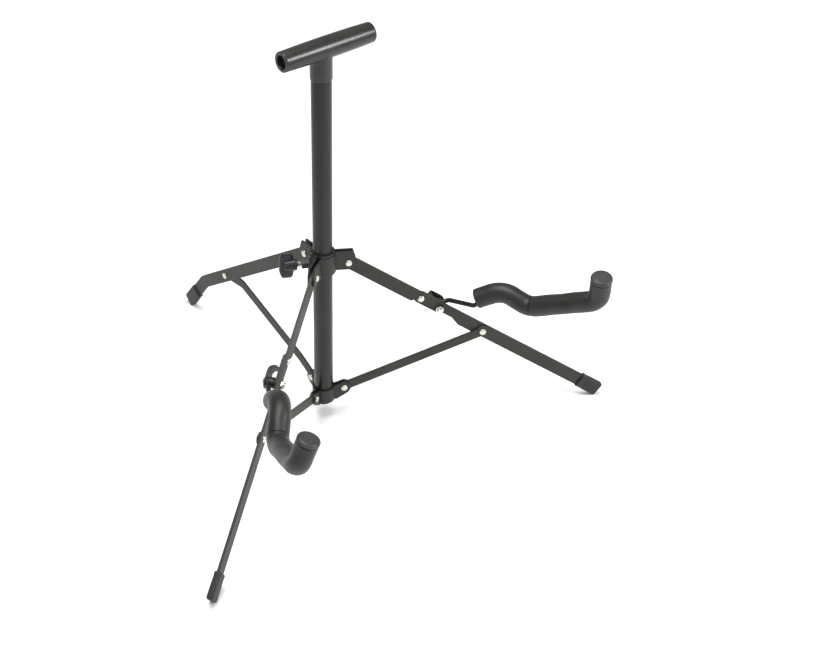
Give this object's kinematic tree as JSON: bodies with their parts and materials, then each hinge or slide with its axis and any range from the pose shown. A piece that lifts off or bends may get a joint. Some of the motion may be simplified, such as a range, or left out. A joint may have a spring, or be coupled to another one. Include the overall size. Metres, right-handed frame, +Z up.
{
  "type": "folding instrument stand",
  "caption": "Folding floor stand for a guitar: upright tube with T-handle, sliding hub, tripod legs with braces and foam-padded cradle arms.",
  "frame": {"origin": "centre of the bounding box's bottom face, on the floor", "axes": "+Z up, -Y towards the player's side where the padded arms point, +X to the right seen from the front"},
  "size_m": [0.5235, 0.494, 0.4417],
  "materials": {
    "post_steel": "satin black powder coat",
    "leg_steel": "satin black powder coat",
    "plate_steel": "satin black powder coat",
    "bracket_steel": "satin black powder coat",
    "rod_steel": "black finish",
    "zinc_rivet": "bright zinc plate",
    "zinc_bolt": "bright zinc plate",
    "handle_plastic": "satin moulded",
    "plug_plastic": "moulded",
    "bushing_plastic": "moulded",
    "knob_plastic": "moulded",
    "foot_rubber": "matte",
    "cap_rubber": "matte",
    "sleeve_foam": "matte closed-cell foam"
  },
  "bodies": {
    "upright": {"post_tube": "post_steel", "post_plug": "plug_plastic", "t_handle": "handle_plastic", "base_plate_front": "plate_steel", "base_plate_left": "plate_steel", "base_plate_right": "plate_steel", "base_rivet_front_right": "zinc_rivet", "base_rivet_front_left": "zinc_rivet", "base_rivet_rear": "zinc_rivet"},
    "hub": {"hub_plate_front": "plate_steel", "hub_plate_left": "plate_steel", "hub_plate_right": "plate_steel", "hub_bushing": "bushing_plastic", "clamp_nut": "plate_steel", "hub_rivet_front_right": "zinc_rivet", "hub_rivet_front_left": "zinc_rivet", "hub_rivet_rear": "zinc_rivet"},
    "clamp": {"clamp_screw": "zinc_bolt", "wing_knob": "knob_plastic"},
    "stay_right": {"leg_front_right": "leg_steel", "foot_front_right": "foot_rubber", "mid_rivet_front_right": "zinc_rivet", "arm_bracket_right": "bracket_steel", "arm_bolt_right": "zinc_bolt", "arm_nut_right": "zinc_bolt", "tail_rivet_right": "zinc_rivet"},
    "strut_right": {"brace_front_right": "leg_steel"},
    "stay_left": {"leg_front_left": "leg_steel", "foot_front_left": "foot_rubber", "mid_rivet_front_left": "zinc_rivet", "arm_bracket_left": "bracket_steel", "arm_bolt_left": "zinc_bolt", "arm_nut_left": "zinc_bolt", "tail_rivet_left": "zinc_rivet"},
    "strut_left": {"brace_front_left": "leg_steel"},
    "stay_rear": {"leg_rear": "leg_steel", "foot_rear": "foot_rubber", "mid_rivet_rear": "zinc_rivet"},
    "strut_rear": {"brace_rear": "leg_steel"},
    "arm_right": {"arm_rod_right": "rod_steel", "foam_inner_right": "sleeve_foam", "foam_outer_right": "sleeve_foam", "arm_cap_right": "cap_rubber"},
    "arm_left": {"arm_rod_left": "rod_steel", "foam_inner_left": "sleeve_foam", "foam_outer_left": "sleeve_foam", "arm_cap_left": "cap_rubber"}
  },
  "joints": [
    {"name": "hub_slide", "type": "slide", "parent": "upright", "child": "hub", "axis": [0, 0, 1], "range_m": [0, 0.172]},
    {"name": "wing_screw", "type": "hinge", "parent": "hub", "child": "clamp", "pos_m": [-0.02624, -0.00586, 0.1956], "axis": [-0.8746, 0.4848, 0], "range_deg": [0, 270]},
    {"name": "leg_right_pivot", "type": "hinge", "parent": "hub", "child": "stay_right", "pos_m": [0.02226, -0.03442, 0.1934], "axis": [0.5329, 0.8462, 0], "range_deg": [0, 51.3]},
    {"name": "brace_right_pivot", "type": "hinge", "parent": "stay_right", "child": "strut_right", "pos_m": [0.14313, -0.11053, 0.09669], "axis": [0.5329, 0.8462, 0], "range_deg": [-111.82, 0]},
    {"name": "leg_left_pivot", "type": "hinge", "parent": "hub", "child": "stay_left", "pos_m": [-0.02226, -0.03442, 0.1934], "axis": [0.5329, -0.8462, 0], "range_deg": [0, 51.3]},
    {"name": "brace_left_pivot", "type": "hinge", "parent": "stay_left", "child": "strut_left", "pos_m": [-0.14313, -0.11053, 0.09669], "axis": [0.5329, -0.8462, 0], "range_deg": [-111.82, 0]},
    {"name": "leg_rear_pivot", "type": "hinge", "parent": "hub", "child": "stay_rear", "pos_m": [0, 0.0059, 0.1934], "axis": [-1, 0, 0], "range_deg": [0, 34.26]},
    {"name": "brace_rear_pivot", "type": "hinge", "parent": "stay_rear", "child": "strut_rear", "pos_m": [0, 0.16117, 0.08183], "axis": [-1, 0, 0], "range_deg": [-82.91, 0]},
    {"name": "arm_right_pivot", "type": "hinge", "parent": "stay_right", "child": "arm_right", "pos_m": [0.10326, -0.08542, 0.12859], "axis": [-0.5329, -0.8462, 0], "range_deg": [0, 70]},
    {"name": "arm_left_pivot", "type": "hinge", "parent": "stay_left", "child": "arm_left", "pos_m": [-0.10326, -0.08542, 0.12859], "axis": [-0.5329, 0.8462, 0], "range_deg": [0, 70]}
  ],
  "couplings": [
    {"joint": "leg_right_pivot", "follows": "hub_slide", "rad_per_m": 5.2058},
    {"joint": "brace_right_pivot", "follows": "hub_slide", "rad_per_m": -11.347},
    {"joint": "leg_left_pivot", "follows": "hub_slide", "rad_per_m": 5.2058},
    {"joint": "brace_left_pivot", "follows": "hub_slide", "rad_per_m": -11.347},
    {"joint": "leg_rear_pivot", "follows": "hub_slide", "rad_per_m": 3.4768},
    {"joint": "brace_rear_pivot", "follows": "hub_slide", "rad_per_m": -8.4129}
  ]
}
